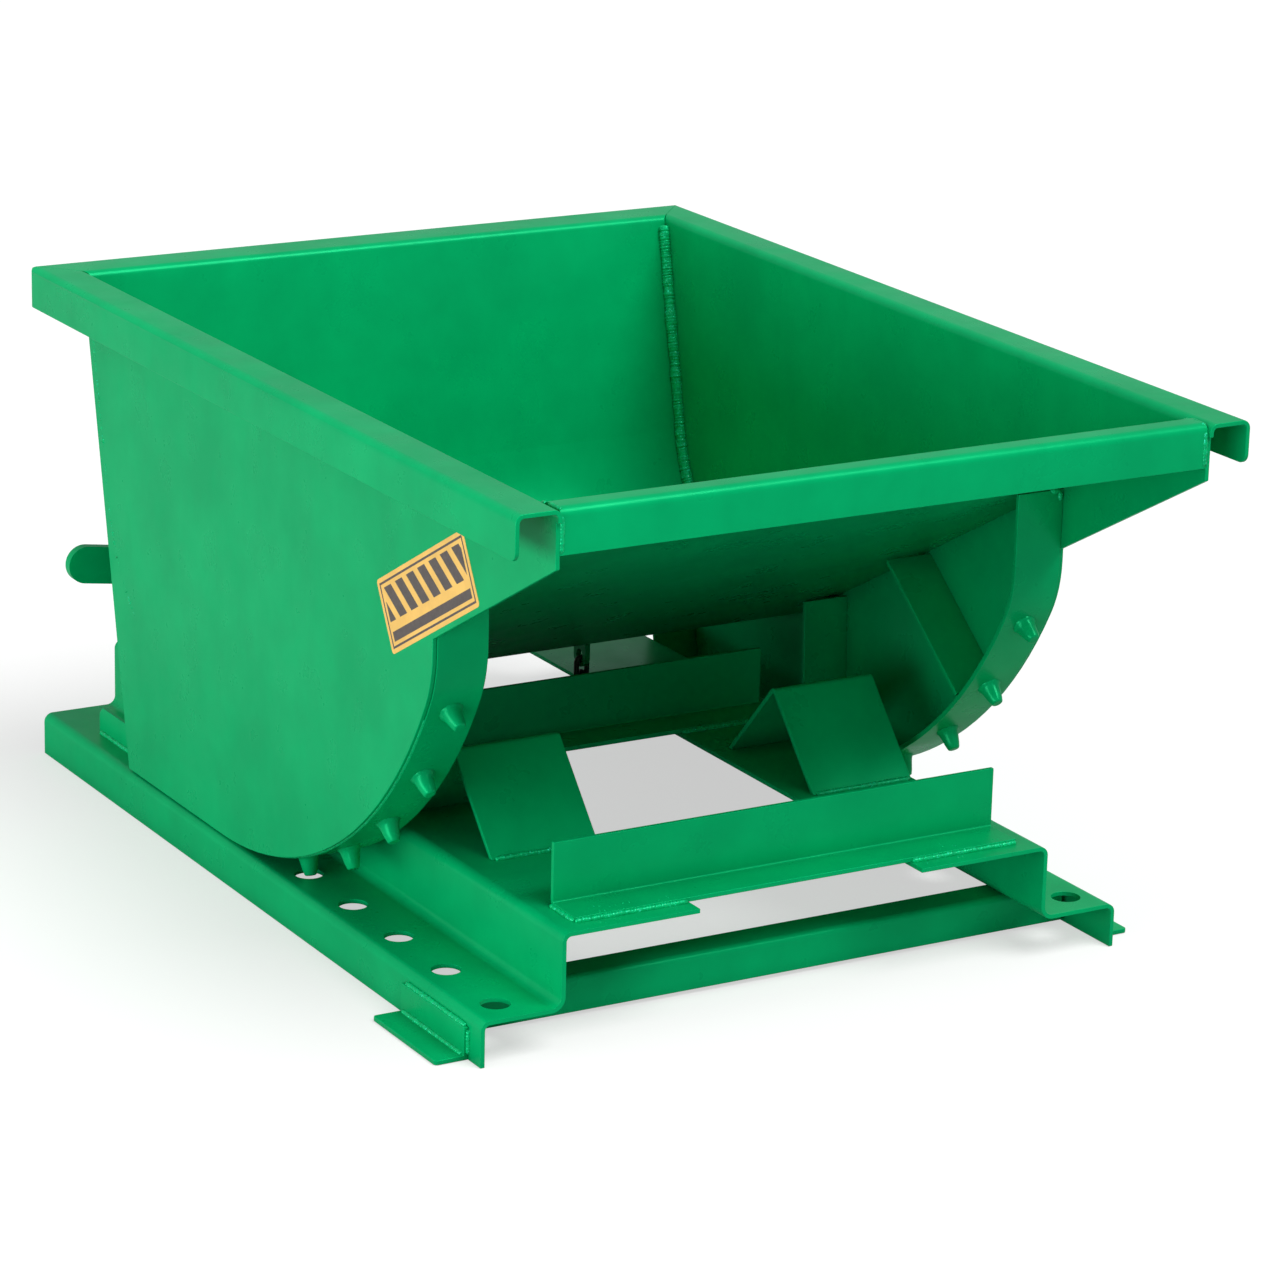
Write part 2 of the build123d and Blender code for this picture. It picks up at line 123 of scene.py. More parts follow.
class HopperWeld(bpy.types.PropertyGroup):
    radius: bpy.props.FloatProperty(
        name="Bead radius", description="Radius of an ordinary fillet bead",
        default=0.0030, min=0.001, max=0.01, unit="LENGTH",
    )
    corner_radius: bpy.props.FloatProperty(
        name="Corner bead radius", description="Radius of the heavy bead in the rear corners",
        default=0.0072, min=0.001, max=0.012, unit="LENGTH",
    )
    ripple: bpy.props.FloatProperty(
        name="Ripple pitch", description="Distance from one ripple of a bead to the next",
        default=0.0034, min=0.001, max=0.02, unit="LENGTH",
    )
    spatter: bpy.props.IntProperty(
        name="Spatter drops", description="Number of drops of weld spatter on the base",
        default=60, min=0, max=400,
    )


class HopperLabel(bpy.types.PropertyGroup):
    amber: bpy.props.FloatVectorProperty(
        name="Film colour", description="Amber of the plain label",
        default=(0.92, 0.56, 0.13), size=3, min=0.0, max=1.0, subtype="COLOR",
    )
    ink: bpy.props.FloatVectorProperty(
        name="Ink colour", description="Dark print of the plain label",
        default=(0.060, 0.050, 0.046), size=3, min=0.0, max=1.0, subtype="COLOR",
    )


class HopperStage(bpy.types.PropertyGroup):
    eye: bpy.props.FloatVectorProperty(
        name="Camera place", description="Where the camera stands",
        default=(-2.3621, -4.1358, 1.7219), size=3, subtype="TRANSLATION", unit="LENGTH",
    )
    azimuth: bpy.props.FloatProperty(
        name="Heading", description="Camera heading, clockwise from +Y",
        default=math.radians(30.406), subtype="ANGLE",
    )
    dip: bpy.props.FloatProperty(
        name="Dip", description="How far the camera looks down",
        default=math.radians(17.132), subtype="ANGLE",
    )
    roll: bpy.props.FloatProperty(
        name="Roll", description="Camera roll about its own axis",
        default=math.radians(1.452), subtype="ANGLE",
    )
    lens: bpy.props.FloatProperty(
        name="Lens", description="Focal length on a 36 mm sensor",
        default=132.88, min=10.0, max=400.0, unit="CAMERA",
    )
    key_strength: bpy.props.FloatProperty(
        name="Key light", description="Strength of the broad even key light from the front",
        default=2.55, min=0.0, max=20.0,
    )
    fill_power: bpy.props.FloatProperty(
        name="Side light", description="Power of the low soft light on the left side",
        default=140.0, min=0.0, unit="POWER",
    )
    sky: bpy.props.FloatProperty(
        name="Room light", description="Strength of the even white room light",
        default=0.36, min=0.0, max=5.0,
    )


# --------------------------------------------------------------------------
# Material tools
# --------------------------------------------------------------------------
class Nodes:
    """Short way to add and join shader nodes of one material."""

    def __init__(self, name):
        self.material = bpy.data.materials.new(name)
        self.material.use_nodes = True
        self.tree = self.material.node_tree
        self.tree.nodes.clear()
        self.output = self.tree.nodes.new("ShaderNodeOutputMaterial")
        self.shader = self.tree.nodes.new("ShaderNodeBsdfPrincipled")
        self.join(self.shader.outputs[0], self.output.inputs["Surface"])
        self.place = self.tree.nodes.new("ShaderNodeTexCoord").outputs["Object"]

    def join(self, source, target):
        self.tree.links.new(source, target)

    def noise(self, size, detail=3.0, rough=0.5, stretch=None):
        """Noise whose lumps are about size metres wide."""
        node = self.tree.nodes.new("ShaderNodeTexNoise")
        node.inputs["Scale"].default_value = 1.0 / size
        node.inputs["Detail"].default_value = detail
        node.inputs["Roughness"].default_value = rough
        place = self.place
        if stretch:
            mapping = self.tree.nodes.new("ShaderNodeMapping")
            mapping.inputs["Scale"].default_value = stretch
            self.join(self.place, mapping.inputs["Vector"])
            place = mapping.outputs[0]
        self.join(place, node.inputs["Vector"])
        return node.outputs["Fac"]

    def spread(self, value, low, high, to_low, to_high):
        """Maps low..high of a value onto to_low..to_high, held at both ends."""
        node = self.tree.nodes.new("ShaderNodeMapRange")
        node.inputs["From Min"].default_value = low
        node.inputs["From Max"].default_value = high
        node.inputs["To Min"].default_value = to_low
        node.inputs["To Max"].default_value = to_high
        self.join(value, node.inputs["Value"])
        return node.outputs[0]

    def patches(self, size, detail, rough, start, full, least, most, stretch=None):
        """Soft patches about size metres wide: least below noise start, most above full."""
        return self.spread(self.noise(size, detail, rough, stretch), start, full, least, most)

    def fix(self, socket, value):
        """Gives one socket of the shader an even value."""
        self.shader.inputs[socket].default_value = value

    def drive(self, socket, source):
        """Joins a pattern to one socket of the shader."""
        self.join(source, self.shader.inputs[socket])

    def mix(self, factor, first, second):
        node = self.tree.nodes.new("ShaderNodeMix")
        node.data_type = "RGBA"
        self.set_or_join(factor, node.inputs[0])
        self.set_or_join(first, node.inputs[6])
        self.set_or_join(second, node.inputs[7])
        return node.outputs[2]

    def set_or_join(self, value, socket):
        if isinstance(value, bpy.types.NodeSocket):
            self.join(value, socket)
        else:
            socket.default_value = value

    def math(self, kind, first, second=0.0):
        node = self.tree.nodes.new("ShaderNodeMath")
        node.operation = kind
        self.set_or_join(first, node.inputs[0])
        self.set_or_join(second, node.inputs[1])
        return node.outputs[0]

    def bump(self, height, strength, distance, below=None):
        node = self.tree.nodes.new("ShaderNodeBump")
        node.inputs["Strength"].default_value = strength
        node.inputs["Distance"].default_value = distance
        self.join(height, node.inputs["Height"])
        if below:
            self.join(below, node.inputs["Normal"])
        return node.outputs[0]

    def crevice(self, distance):
        """1 in the open, towards 0 where other faces stand closer than distance."""
        node = self.tree.nodes.new("ShaderNodeAmbientOcclusion")
        node.samples = 6
        node.inputs["Distance"].default_value = distance
        return node.outputs["AO"]

    def up(self):
        """1 on a face that looks straight up."""
        geometry = self.tree.nodes.new("ShaderNodeNewGeometry")
        split = self.tree.nodes.new("ShaderNodeSeparateXYZ")
        self.join(geometry.outputs["Normal"], split.inputs[0])
        return split.outputs["Z"]


def shade(colour, factor):
    """A colour made lighter or darker, with full alpha."""
    return (*(min(1.0, c * factor) for c in colour), 1.0)


def tinted_gloss(m, coat, coat_roughness):
    """Gloss of the enamel: its reflections take the paint's own tint."""
    glint = (*bpy.context.scene.hopper_paint.glint, 1.0)
    m.fix("Metallic", 0.14)
    m.fix("Specular Tint", glint)
    m.fix("Coat Weight", coat)
    m.fix("Coat Roughness", coat_roughness)


def enamel():
    """Sprayed green enamel with orange peel, faint mottling and painted shade darkening the corners."""
    paint = bpy.context.scene.hopper_paint
    m = Nodes("green_enamel")
    base = tuple(paint.colour)
    mottled = m.mix(m.patches(0.11, 4.0, 0.6, 0.35, 0.68, 0.0, 1.0),
                    shade(base, 0.90), shade(base, 1.07))
    streaks = m.patches(0.05, 5.0, 0.65, 0.5, 0.78, 0.0, 0.30, (1.0, 1.0, 0.25))
    streaked = m.mix(streaks, mottled, shade(base, 0.80))
    specks = m.patches(0.0011, 2.0, 0.7, 0.70, 0.82, 0.0, 0.22)
    fresh = shade((base[0], base[1] * 1.15, base[2] * 1.35), 1.0)
    speckled = m.mix(specks, streaked, fresh)
    # painted shade: the colour darkens to a deep green where other faces stand close, standing in for shade in
    # corners and recesses
    painted_corner_shade = m.spread(m.crevice(0.030), 0.25, 0.85, 0.55, 0.0)
    corner_shaded = m.mix(painted_corner_shade, speckled, shade(base, 0.36))
    dust = m.math("MULTIPLY", m.spread(m.up(), 0.75, 1.0, 0.0, 1.0),
                  m.patches(0.07, 5.0, 0.62, 0.46, 0.80, 0.0, 0.14))
    m.drive("Base Color", m.mix(dust, corner_shaded, (0.01, 0.50, 0.24, 1.0)))
    m.drive("Roughness", m.patches(0.06, 4.0, 0.6, 0.3, 0.7,
                                   paint.roughness - 0.07, paint.roughness + 0.08))
    wave = m.bump(m.noise(0.18, 0.0), 0.45, 0.0022)
    peel = m.bump(m.noise(paint.peel_size, 1.5), 0.13, 0.00022, wave)
    m.drive("Normal", m.bump(m.noise(0.0006, 1.0), 0.05, 0.0001, peel))
    m.fix("IOR", 1.36)
    m.fix("Specular IOR Level", 0.22)
    m.fix("Coat Tint", (*paint.glint, 1.0))
    tinted_gloss(m, 0.05, 0.18)
    return m.material


def weld_enamel():
    """The same enamel over a rough bead: blotchy, shinier in patches, and dotted with painted glints."""
    m = Nodes("painted_weld")
    base = tuple(bpy.context.scene.hopper_paint.colour)
    blotch = m.mix(m.patches(0.006, 4.0, 0.7, 0.35, 0.7, 0.0, 1.0),
                   shade(base, 0.92), shade(base, 1.35))
    # painted highlights: small bright cyan-green specks put into the base colour as glints of light on the bead
    glints = m.patches(0.0028, 2.0, 0.6, 0.60, 0.70, 0.0, 0.80)
    m.drive("Base Color", m.mix(glints, blotch, (0.04, 0.85, 0.55, 1.0)))
    m.drive("Roughness", m.patches(0.004, 3.0, 0.6, 0.35, 0.65, 0.14, 0.40))
    m.drive("Normal", m.bump(m.noise(0.0022, 2.0, 0.6), 0.55, 0.0008))
    tinted_gloss(m, 0.10, 0.12)
    return m.material


def worn_steel(name, colour, roughness, rust):
    """Bare or plated steel with oxide in the low spots."""
    m = Nodes(name)
    spots = m.patches(0.010, 5.0, 0.7, 0.40, 0.72, 0.0, rust)
    body = m.mix(m.noise(0.003, 4.0, 0.6), shade(colour, 0.7), shade(colour, 1.25))
    m.drive("Base Color", m.mix(spots, body, (0.09, 0.045, 0.022, 1.0)))
    m.drive("Roughness", m.spread(spots, 0.0, 1.0, roughness, 0.85))
    m.drive("Normal", m.bump(m.noise(0.0008, 3.0, 0.6), 0.35, 0.0002))
    m.fix("Metallic", 0.9)
    return m.material


def label_film(width, height):
    """Amber film with a dark frame and slanted dark bars, and no lettering."""
    line_outside, line_inside = 0.0045, 0.0068  # frame line, measured in from the edge
    print_margin = 0.0105
    bar_pitch, bar_share, bar_slant = 0.0262, 0.62, 0.62
    bars_foot, strip_top = height * 0.40, height * 0.27
    label = bpy.context.scene.hopper_label
    m = Nodes("label_print")
    uv = m.tree.nodes.new("ShaderNodeUVMap")
    uv.uv_map = "film"
    split = m.tree.nodes.new("ShaderNodeSeparateXYZ")
    m.join(uv.outputs[0], split.inputs[0])
    across = m.math("MULTIPLY", split.outputs["X"], width)
    up = m.math("MULTIPLY", split.outputs["Y"], height)
    from_side = m.math("MINIMUM", across, m.math("SUBTRACT", width, across))
    from_end = m.math("MINIMUM", up, m.math("SUBTRACT", height, up))
    margin = m.math("MINIMUM", from_side, from_end)
    frame_line = m.math("MULTIPLY", m.math("GREATER_THAN", margin, line_outside),
                        m.math("LESS_THAN", margin, line_inside))
    inside = m.math("GREATER_THAN", margin, print_margin)
    slant = m.math("ADD", across, m.math("MULTIPLY", up, bar_slant))
    bars = m.math("LESS_THAN", m.math("FRACT", m.math("DIVIDE", slant, bar_pitch)), bar_share)
    in_band = m.math("MULTIPLY", m.math("GREATER_THAN", up, bars_foot), inside)
    hatch = m.math("MULTIPLY", bars, in_band)
    strip = m.math("MULTIPLY", m.math("LESS_THAN", up, strip_top), inside)
    print_mask = m.math("MAXIMUM", m.math("MAXIMUM", frame_line, hatch), strip)
    amber = m.mix(m.patches(0.03, 4.0, 0.6, 0.35, 0.7, 0.0, 1.0),
                  shade(label.amber, 0.90), shade(label.amber, 1.05))
    ink = m.mix(m.noise(0.004, 4.0, 0.6), shade(label.ink, 0.8), shade(label.ink, 2.2))
    m.drive("Base Color", m.mix(print_mask, amber, ink))
    m.drive("Roughness", m.patches(0.02, 4.0, 0.6, 0.3, 0.7, 0.28, 0.44))
    m.drive("Normal", m.bump(m.noise(0.012, 2.0), 0.15, 0.0004))
    return m.material


def material(key):
    """Makes each material once."""
    made = bpy.data.materials.get(key)
    if made:
        return made
    makers = {
        "green_enamel": enamel,
        "painted_weld": weld_enamel,
        "chain_steel": lambda: worn_steel("chain_steel", (0.10, 0.105, 0.10), 0.42, 0.55),
        "plated_steel": lambda: worn_steel("plated_steel", (0.60, 0.61, 0.60), 0.28, 0.12),
    }
    return makers[key]()


# --------------------------------------------------------------------------
# Mesh tools
# --------------------------------------------------------------------------
def add_piece(name, mesh, body, finish, stands_for=()):
    """Links a mesh as a piece that rides on a body."""
    piece = bpy.data.objects.new(name, mesh)
    bpy.context.scene.collection.objects.link(piece)
    mesh.materials.clear()
    mesh.materials.append(finish)
    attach(piece, body)
    if stands_for:
        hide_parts(*stands_for)
    return piece


def body_of_node(node):
    """The body that holds a CAD node."""
    for body, members in RECORD["behaviour"]["bodies"].items():
        if node in members:
            return body
    raise ValueError("no body holds " + node)


def smooth_by_angle(mesh, degrees):
    """Smooth faces, with sharp edges where they turn more than degrees."""
    for face in mesh.polygons:
        face.use_smooth = True
    mesh.set_sharp_from_angle(angle=math.radians(degrees))


def drop_inner_faces(shape):
    """Removes the pairs of faces that two butted sheets share."""
    seen = {}
    for face in shape.faces:
        seen.setdefault(frozenset(v.index for v in face.verts), []).append(face)
    doubled = [f for same in seen.values() if len(same) > 1 for f in same]
    bmesh.ops.delete(shape, geom=doubled, context="FACES_ONLY")


def eased_copy(node, finish, edge=None, name=None, joined_to=None):
    """A copy of one node, or of two butted ones, with its sharp edges rounded."""
    radius = bpy.context.scene.hopper_paint.edge if edge is None else edge
    nodes = (node, joined_to) if joined_to else (node,)
    name = name or node
    flat = math.radians(0.6)
    shape = bmesh.new()
    for source in nodes:
        shape.from_mesh(frame["nodes"][source].data)
    bmesh.ops.remove_doubles(shape, verts=shape.verts, dist=2e-6)
    if joined_to:
        bmesh.ops.dissolve_limit(shape, angle_limit=flat, verts=[], edges=shape.edges)
        shape.verts.index_update()
        drop_inner_faces(shape)
    bmesh.ops.dissolve_limit(shape, angle_limit=flat, verts=shape.verts, edges=shape.edges)
    shape.verts.index_update()
    mesh = bpy.data.meshes.new(name + "_shape")
    mesh.from_pydata([v.co for v in shape.verts], [],
                     [[v.index for v in f.verts] for f in shape.faces])
    shape.free()
    smooth_by_angle(mesh, 32.0)
    piece = add_piece(name + "_painted", mesh, body_of_node(node), finish, nodes)
    ease = piece.modifiers.new("eased_edges", "BEVEL")
    ease.width = radius
    ease.segments = 2
    ease.limit_method = "ANGLE"
    ease.angle_limit = math.radians(35.0)
    ease.harden_normals = True
    return piece


def sides_of(direction):
    """Two directions square to a third."""
    helper = Vector((0, 0, 1)) if abs(direction.z) < 0.9 else Vector((1, 0, 0))
    first = direction.cross(helper).normalized()
    return first, direction.cross(first).normalized()


def resample(points, step):
    """Points along a path, about one step apart."""
    dense = [points[0]]
    for start, stop in zip(points, points[1:]):
        count = max(1, round((stop - start).length / step))
        dense += [start.lerp(stop, (i + 1) / count) for i in range(count)]
    return dense


def add_bead(shape, points, radius, seed, ripple, wander=0.30):
    """Adds a rippled bead of weld along a path to a bmesh."""
    around = 8
    end_size, end_growth = 0.55, 0.18  # a bead starts and ends thin
    rand = random.Random(seed)
    path = resample(points, ripple / 3.0)
    rings = []
    run = 0.0
    swell = 1.0
    for i, point in enumerate(path):
        ahead = path[min(i + 1, len(path) - 1)]
        behind = path[max(i - 1, 0)]
        direction = (ahead - behind).normalized()
        first, second = sides_of(direction)
        if i:
            run += (point - path[i - 1]).length
        phase = (run / ripple) % 1.0
        swell += (1.0 + rand.uniform(-wander, wander) - swell) * 0.25
        taper = min(1.0, end_size + min(i, len(path) - 1 - i) * end_growth)
        size = radius * taper * swell * (0.90 + 0.16 * math.sin(math.pi * phase))
        drift = (first * rand.uniform(-1, 1) + second * rand.uniform(-1, 1)) * radius * 0.05
        ring = []
        for k in range(around):
            turn = 2 * math.pi * k / around
            rough = 1.0 + rand.uniform(-0.04, 0.04)
            ring.append(shape.verts.new(
                point + drift + (first * math.cos(turn) + second * math.sin(turn)) * size * rough))
        rings.append(ring)
    for one, two in zip(rings, rings[1:]):
        for k in range(around):
            shape.faces.new((one[k], one[(k + 1) % around], two[(k + 1) % around], two[k]))
    shape.faces.new(rings[0][::-1])
    shape.faces.new(rings[-1])


def weld_piece(name, body, paths, radius, seed):
    """All beads of one seam group as one piece."""
    weld = bpy.context.scene.hopper_weld
    shape = bmesh.new()
    for n, points in enumerate(paths):
        add_bead(shape, [Vector(p) for p in points], radius, seed + n, weld.ripple)
    bmesh.ops.recalc_face_normals(shape, faces=shape.faces)
    mesh = bpy.data.meshes.new(name + "_shape")
    shape.to_mesh(mesh)
    shape.free()
    smooth_by_angle(mesh, 80.0)
    return add_piece(name, mesh, body, material("painted_weld"))


def on_roll(degrees, radius):
    """A point of the side view on a circle about the roll centre."""
    turn = math.radians(degrees)
    return ROLL_CENTRE.y - radius * math.sin(turn), ROLL_CENTRE.z - radius * math.cos(turn)


def lathe(shape, matrix, profile, around=28):
    """Adds a turned form to a bmesh; profile is (radius, height) from the base to the tip."""
    rings = []
    for radius, height in profile:
        rings.append([
            shape.verts.new(matrix @ Vector((radius * math.cos(2 * math.pi * k / around),
                                             radius * math.sin(2 * math.pi * k / around), height)))
            for k in range(around)
        ])
    for one, two in zip(rings, rings[1:]):
        for k in range(around):
            shape.faces.new((one[k], one[(k + 1) % around], two[(k + 1) % around], two[k]))
    shape.faces.new(rings[0][::-1])
    shape.faces.new(rings[-1])


# --------------------------------------------------------------------------
# Operators: one for each group of pieces
# --------------------------------------------------------------------------
class HOPPER_OT_bucket_sheets(bpy.types.Operator):
    """Paint the side plates, the bent floor sheet and the rear wall"""
    bl_idname = "hopper.bucket_sheets"
    bl_label = "Bucket sheets"

    def execute(self, context):
        for node in BUCKET_PLATES:
            eased_copy(node, material("green_enamel"))
        eased_copy("belly_sheet", material("green_enamel"), joined_to="rear_wall",
                   name="bucket_wrapper")
        return {"FINISHED"}


class HOPPER_OT_rockers(bpy.types.Operator):
    """Paint the rolling rockers and the bars that brace them"""
    bl_idname = "hopper.rockers"
    bl_label = "Rockers and braces"

    def execute(self, context):
        for node in ROCKER_PARTS:
            eased_copy(node, material("green_enamel"))
        return {"FINISHED"}


class HOPPER_OT_pegs(bpy.types.Operator):
    """Turn the tapered pegs of both rockers, each with a rounded nose and a weld ring"""
    bl_idname = "hopper.pegs"
    bl_label = "Rocker pegs"

    def execute(self, context):
        profile = self.profile()
        for side in ("left", "right"):
            low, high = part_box("rocker_pegs_" + side)
            x = (low.x + high.x) / 2
            shape = bmesh.new()
            for i in range(PEGS_A_SIDE):
                turn = (ROLL_CENTRE.y - (FIRST_HOLE_Y + i * HOLE_PITCH)) / ROLL_RADIUS
                y, z = on_roll(math.degrees(turn), ROLL_RADIUS)
                outward = Vector((0, -math.sin(turn), -math.cos(turn)))
                aim = outward.to_track_quat("Z", "Y").to_matrix().to_4x4()
                lathe(shape, Matrix.Translation((x, y, z)) @ aim, profile)
            mesh = bpy.data.meshes.new("pegs_" + side + "_shape")
            shape.to_mesh(mesh)
            shape.free()
            smooth_by_angle(mesh, 50.0)
            add_piece("pegs_" + side, mesh, "bucket", material("green_enamel"),
                      ("rocker_pegs_" + side,))
        return {"FINISHED"}

    def profile(self):
        """Weld ring, taper and rounded nose as (radius, height) points."""
        length, base_r, tip_r, nose, ring_top = 0.022, 0.011, 0.0065, 0.0022, 0.0034
        points = [(base_r * 1.16, -0.0012), (base_r * 1.14, 0.0006), (base_r * 1.04, 0.0018),
                  (base_r * 0.965, ring_top)]
        for i in range(1, 5):
            part = i / 5
            points.append((base_r + (tip_r - base_r) * (0.15 + 0.75 * part),
                           ring_top + (length - nose - ring_top) * part))
        for i in range(1, 7):
            turn = math.pi / 2 * i / 6
            points.append((max(tip_r - nose + nose * math.cos(turn), 0.0004),
                           length - nose + nose * math.sin(turn)))
        return points


class HOPPER_OT_base_frame(bpy.types.Operator):
    """Paint the rails, cross angles, saddles, feet, guides and keeper of the base"""
    bl_idname = "hopper.base_frame"
    bl_label = "Base frame"

    def execute(self, context):
        for node in BASE_PARTS:
            eased_copy(node, material("green_enamel"))
        return {"FINISHED"}


class HOPPER_OT_latch(bpy.types.Operator):
    """Paint the lever, hook, bracket and chain eye, and plate the lever bolt"""
    bl_idname = "hopper.latch"
    bl_label = "Latch"

    def execute(self, context):
        eased_copy("release_lever", material("green_enamel"), edge=0.0015)
        for node in ("latch_hook", "latch_bracket", "chain_eye"):
            eased_copy(node, material("green_enamel"))
        for node in ("lever_bolt", "lever_nut"):
            eased_copy(node, material("plated_steel"), 0.0006)
        return {"FINISHED"}


class HOPPER_OT_chain(bpy.types.Operator):
    """Darken the chain and the hidden roll key"""
    bl_idname = "hopper.chain"
    bl_label = "Chain"

    def execute(self, context):
        for node in ("chain_links", "roll_carrier_key"):
            shown = frame["nodes"][node]
            shown.data.materials.clear()
            shown.data.materials.append(material("chain_steel"))
        return {"FINISHED"}


class HOPPER_OT_label(bpy.types.Operator):
    """Lay the plain amber label on the left side plate"""
    bl_idname = "hopper.label"
    bl_label = "Label"

    def execute(self, context):
        low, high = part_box("side_label")
        width, height, corner, bevel = 0.200, 0.075, 0.004, 0.0003
        thick = high.x - low.x
        centre = Vector((high.x, (low.y + high.y) / 2, (low.z + high.z) / 2))
        along = Vector((0, -math.cos(CHUTE_SLOPE), math.sin(CHUTE_SLOPE)))
        upward = Vector((0, math.sin(CHUTE_SLOPE), math.cos(CHUTE_SLOPE)))
        outline = []
        for cx, cy, start in ((1, 1, 0), (-1, 1, 90), (-1, -1, 180), (1, -1, 270)):
            for k in range(5):
                turn = math.radians(start + 22.5 * k)
                outline.append((cx * (width / 2 - corner) + corner * math.cos(turn),
                                cy * (height / 2 - corner) + corner * math.sin(turn)))
        shape = bmesh.new()
        film = shape.loops.layers.uv.new("film")
        rings = []
        for out, shrink in ((0.0, 0.0), (thick * 0.7, 0.0), (thick, bevel)):
            ring = []
            for a, b in outline:
                fit = 1 - shrink / (height / 2)
                spot = centre + along * a * fit + upward * b * fit - Vector((out, 0, 0))
                ring.append(shape.verts.new(spot))
            rings.append(ring)
        faces = [shape.faces.new(rings[-1]), shape.faces.new(rings[0][::-1])]
        for one, two in zip(rings, rings[1:]):
            for k in range(len(outline)):
                n = (k + 1) % len(outline)
                faces.append(shape.faces.new((one[k], one[n], two[n], two[k])))
        for face in faces:
            for loop in face.loops:
                spot = loop.vert.co - centre
                loop[film].uv = (0.5 + spot.dot(along) / width, 0.5 + spot.dot(upward) / height)
        bmesh.ops.recalc_face_normals(shape, faces=shape.faces)
        mesh = bpy.data.meshes.new("amber_label_shape")
        shape.to_mesh(mesh)
        shape.free()
        add_piece("amber_label", mesh, "bucket", label_film(width, height),
                  ("side_label",))
        return {"FINISHED"}


def rear_corner_path(sign):
    """Down the inner corner between a side plate and the rear wall."""
    x = sign * (INNER_X - 0.0025)
    top = RIM_Z - 0.010
    drop = math.tan(WALL_LEAN)
    return [(x, WALL_LOW.y + drop * (z - WALL_LOW.z) - 0.0025, z)
            for z in (top, (top + WALL_LOW.z) / 2, WALL_LOW.z)]


def belly_path(sign, inset=0.0006):
    """Along the corner between a side plate and the belly, then up the sloping floor."""
    x = sign * (INNER_X - inset)
    centre = Vector((x, WALL_LOW.y - BELLY_RADIUS * math.cos(WALL_LEAN),
                     WALL_LOW.z + BELLY_RADIUS * math.sin(WALL_LEAN)))
    sweep = math.pi / 2 - WALL_LEAN + CHUTE_SLOPE
    path = []
    for i in range(25):
        turn = -WALL_LEAN - sweep * i / 24
        path.append(centre + (BELLY_RADIUS - inset) * Vector((0, math.cos(turn), math.sin(turn))))
    climb = (path[-1].y - LIP_Y - 0.030) / math.cos(CHUTE_SLOPE)
    path.append(path[-1] + climb * Vector((0, -math.cos(CHUTE_SLOPE), math.sin(CHUTE_SLOPE))))
    return path


class HOPPER_OT_bucket_welds(bpy.types.Operator):
    """Run the beads of the bucket: rear corners, lip ends and rockers"""
    bl_idname = "hopper.bucket_welds"
    bl_label = "Bucket welds"

    def execute(self, context):
        weld = context.scene.hopper_weld
        weld_piece("corner_welds", "bucket",
                   [rear_corner_path(s) + belly_path(s, 0.0025)[1:10] for s in (-1, 1)],
                   weld.corner_radius, 11)
        arcs, lips, knobs = [], [], []
        for s in (-1, 1):
            x = s * (PLATE_X - 0.0002)
            arcs.append([(x, *on_roll(a, ROLL_RADIUS - 0.0022)) for a in range(0, 61, 2)])
            x = s * (INNER_X - 0.0018)
            face, top = LIP_Y + 0.0012, RIM_Z - 0.0024
            lips.append([(x, face, RIM_Z - 0.008), (x, face, RIM_Z - 0.043)])
            lips.append([(x, LIP_Y + 0.0030, top), (x, LIP_Y + 0.026, top)])
            rocker_top = Vector((s * (INNER_X - 0.004), ROCKER_LOW.y + 0.001, ROCKER_HIGH.z - 0.002))
            knobs.append([rocker_top, rocker_top + Vector((-s * 0.012, 0.001, 0.001))])
            knobs.append([rocker_top, rocker_top + Vector((0, 0, -0.010))])
        weld_piece("floor_welds", "bucket", [belly_path(s) for s in (-1, 1)],
                   weld.radius * 0.9, 17)
        weld_piece("rocker_welds", "bucket", arcs, weld.radius * 0.55, 23)
        weld_piece("lip_welds", "bucket", lips, weld.radius * 0.9, 31)
        weld_piece("rocker_top_welds", "bucket", knobs, weld.radius * 1.1, 37)
        return {"FINISHED"}


